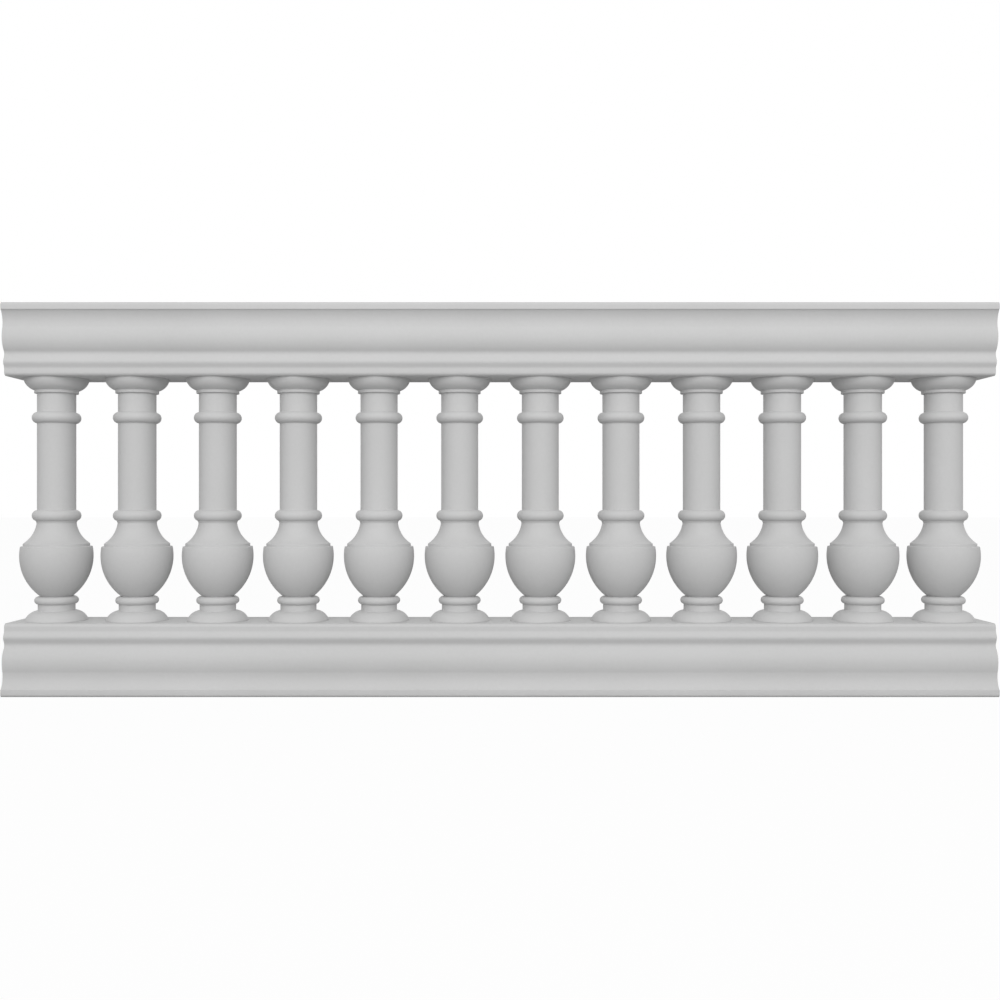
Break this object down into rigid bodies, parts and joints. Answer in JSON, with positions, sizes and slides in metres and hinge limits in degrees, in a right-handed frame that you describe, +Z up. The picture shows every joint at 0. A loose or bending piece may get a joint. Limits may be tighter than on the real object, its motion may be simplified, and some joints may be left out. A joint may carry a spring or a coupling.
{
  "type": "balustrade section",
  "caption": "Straight balustrade section: a row of vase-shaped turned balusters standing between two moulded rails of the same outline.",
  "frame": {"origin": "middle of the section's length and depth, on the floor under the bottom rail", "axes": "+X along the rails, front faces -Y, +Z up"},
  "size_m": [2.4384, 0.2222, 0.9652],
  "materials": {
    "moulded_fibreglass": "smooth pale grey gelcoat with a soft satin sheen",
    "galvanised_steel": "dull galvanised sheet steel",
    "zinc_plated_steel": "zinc-plated fasteners"
  },
  "bodies": {
    "root": {"top_rail": "moulded_fibreglass", "bottom_rail": "moulded_fibreglass", "top_closing_plate": "moulded_fibreglass", "bottom_closing_plate": "moulded_fibreglass", "top_left_end_cap": "moulded_fibreglass", "top_right_end_cap": "moulded_fibreglass", "bottom_left_end_cap": "moulded_fibreglass", "bottom_right_end_cap": "moulded_fibreglass", "baluster_01": "moulded_fibreglass", "baluster_02": "moulded_fibreglass", "baluster_03": "moulded_fibreglass", "baluster_04": "moulded_fibreglass", "baluster_05": "moulded_fibreglass", "baluster_06": "moulded_fibreglass", "baluster_07": "moulded_fibreglass", "baluster_08": "moulded_fibreglass", "baluster_09": "moulded_fibreglass", "baluster_10": "moulded_fibreglass", "baluster_11": "moulded_fibreglass", "baluster_12": "moulded_fibreglass", "top_channel": "galvanised_steel", "bottom_channel": "galvanised_steel", "tie_rod_01": "zinc_plated_steel", "tie_rod_02": "zinc_plated_steel", "tie_rod_03": "zinc_plated_steel", "tie_rod_04": "zinc_plated_steel", "tie_rod_05": "zinc_plated_steel", "tie_rod_06": "zinc_plated_steel", "tie_rod_07": "zinc_plated_steel", "tie_rod_08": "zinc_plated_steel", "tie_rod_09": "zinc_plated_steel", "tie_rod_10": "zinc_plated_steel", "tie_rod_11": "zinc_plated_steel", "tie_rod_12": "zinc_plated_steel", "top_washers": "zinc_plated_steel", "bottom_washers": "zinc_plated_steel", "top_nuts": "zinc_plated_steel", "bottom_nuts": "zinc_plated_steel"}
  },
  "joints": []
}
